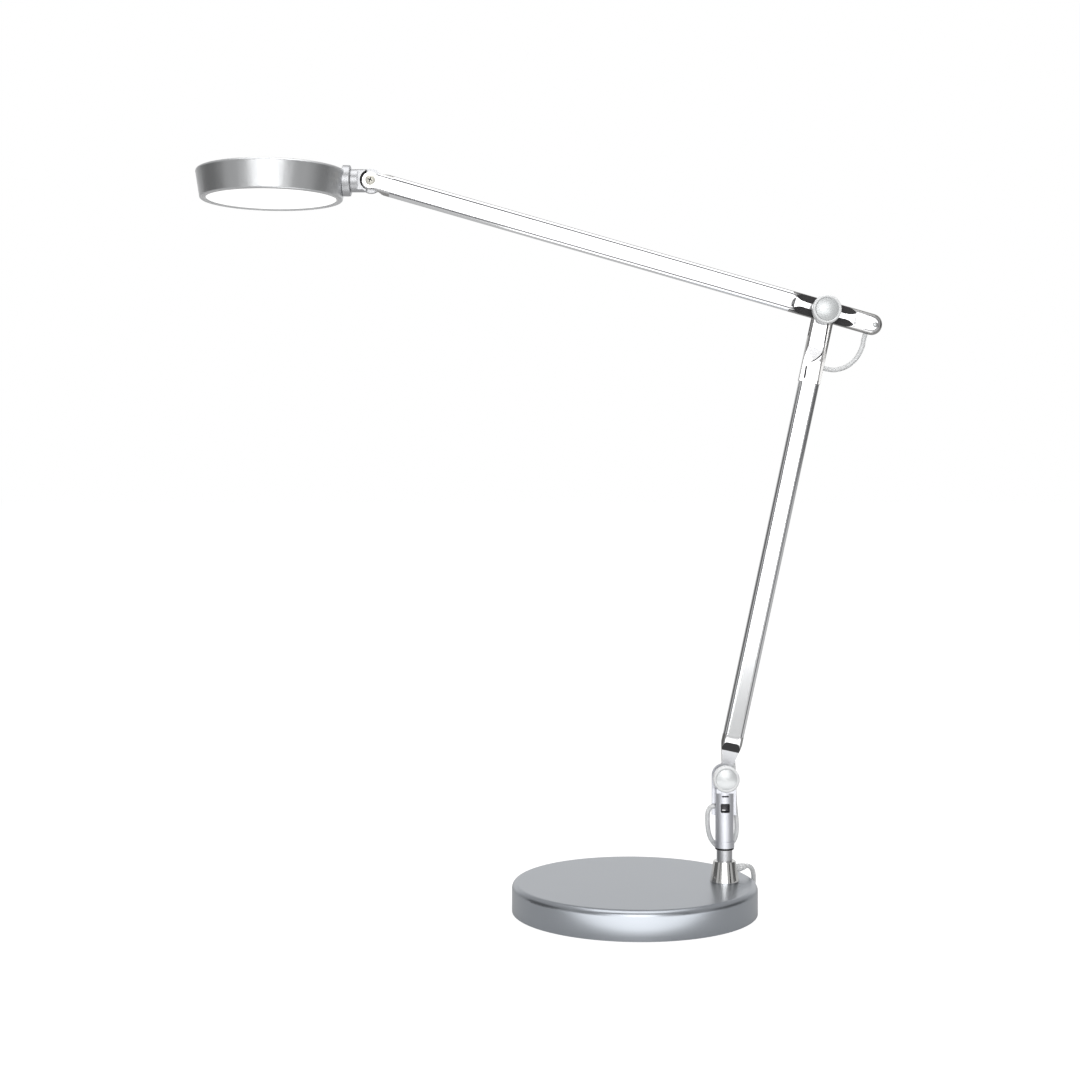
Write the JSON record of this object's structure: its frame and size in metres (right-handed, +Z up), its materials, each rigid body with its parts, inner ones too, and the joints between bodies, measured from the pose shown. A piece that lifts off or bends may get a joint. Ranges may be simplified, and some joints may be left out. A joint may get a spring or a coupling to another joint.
{
  "type": "desk lamp",
  "caption": "Desk lamp with a round weighted base, a swivel post, two clamped flat-oval arms and a round LED head that tilts and rolls.",
  "frame": {"origin": "centre of the round base's underside, on the table", "axes": "+Z up; -X towards the lamp's head at rest, +X towards the post; +Y away from the clamp knobs"},
  "size_m": [0.6435, 0.3086, 0.6997],
  "materials": {
    "satin_paint": "satin silver paint",
    "polished_tube": "polished",
    "cast_bright": "bright plated casting",
    "satin_steel": "satin",
    "zinc_steel": "zinc plated",
    "cast_weight": "raw casting",
    "black_rubber": "matt",
    "black_plastic": "glossy black",
    "knob_plastic": "satin pale grey",
    "clear_lead": "clear sleeve over metallic strands",
    "heat_aluminium": "bare",
    "board_white": "white solder mask",
    "led_phosphor": "lit phosphor",
    "opal_diffuser": "opal, lit from behind",
    "bezel_white": "satin white"
  },
  "bodies": {
    "base": {"base_cover": "satin_paint", "base_weight": "cast_weight", "base_plate": "zinc_steel", "plate_screws": "zinc_steel", "base_pad": "black_rubber", "post_cone": "cast_bright", "post_spindle": "satin_steel", "post_nut": "zinc_steel", "thrust_ring": "black_rubber", "spindle_clip": "zinc_steel", "inner_lead": "clear_lead", "strain_relief": "clear_lead", "mains_cord": "clear_lead", "cord_coil": "clear_lead", "cord_end": "clear_lead", "plug_body": "knob_plastic", "plug_pins": "zinc_steel"},
    "swivel": {"swivel_sleeve": "satin_steel", "switch_frame": "black_plastic", "lower_bolt": "zinc_steel", "lower_washers": "black_rubber", "lower_cable_loop": "clear_lead"},
    "rocker": {"switch_rocker": "black_plastic"},
    "knob_low": {"lower_knob": "knob_plastic", "lower_knob_cap": "knob_plastic"},
    "arm_low": {"lower_foot": "cast_bright", "lower_tube": "polished_tube", "lower_fork": "cast_bright", "elbow_bolt": "zinc_steel", "elbow_washers": "black_rubber"},
    "knob_elbow": {"elbow_knob": "knob_plastic", "elbow_knob_cap": "knob_plastic"},
    "arm_up": {"upper_tail": "cast_bright", "tail_screw": "zinc_steel", "upper_tube": "polished_tube", "upper_tip": "cast_bright", "elbow_cable_loop": "clear_lead"},
    "neck": {"head_neck": "satin_steel", "hinge_screw": "zinc_steel", "hinge_nut": "zinc_steel", "hinge_washer": "black_rubber", "neck_clip": "zinc_steel"},
    "head": {"head_collar": "satin_steel", "collar_nut": "zinc_steel", "head_housing": "satin_paint", "heat_plate": "heat_aluminium", "led_board": "board_white", "led_chips": "led_phosphor", "diffuser": "opal_diffuser", "bezel_ring": "bezel_white", "board_screws": "zinc_steel"}
  },
  "joints": [
    {"name": "post_swivel", "type": "hinge", "parent": "base", "child": "swivel", "pos_m": [0.0845, 0, 0.0596], "axis": [0, 0, 1], "range_deg": [-170, 170]},
    {"name": "lower_tilt", "type": "hinge", "parent": "swivel", "child": "arm_low", "pos_m": [0.0845, 0, 0.126], "axis": [0, 1, 0], "range_deg": [-50, 30], "deforming": ["lower_cable_loop"]},
    {"name": "elbow_tilt", "type": "hinge", "parent": "arm_low", "child": "arm_up", "pos_m": [0.1782, 0, 0.56307], "axis": [0, 1, 0], "range_deg": [-45, 40], "deforming": ["elbow_cable_loop"]},
    {"name": "head_tilt", "type": "hinge", "parent": "arm_up", "child": "neck", "pos_m": [-0.24764, 0, 0.68518], "axis": [0, 1, 0], "range_deg": [-40, 75]},
    {"name": "head_roll", "type": "hinge", "parent": "neck", "child": "head", "pos_m": [-0.26624, 0, 0.68518], "axis": [1, 0, 0], "range_deg": [-90, 90]},
    {"name": "lower_knob_turn", "type": "hinge", "parent": "swivel", "child": "knob_low", "pos_m": [0.0845, 0, 0.126], "axis": [0, 1, 0], "range_deg": [-180, 180]},
    {"name": "elbow_knob_turn", "type": "hinge", "parent": "arm_low", "child": "knob_elbow", "pos_m": [0.1782, 0, 0.56307], "axis": [0, 1, 0], "range_deg": [-180, 180]},
    {"name": "rocker_press", "type": "hinge", "parent": "swivel", "child": "rocker", "pos_m": [0.0845, -0.004, 0.0974], "axis": [1, 0, 0], "range_deg": [0, 10]}
  ]
}
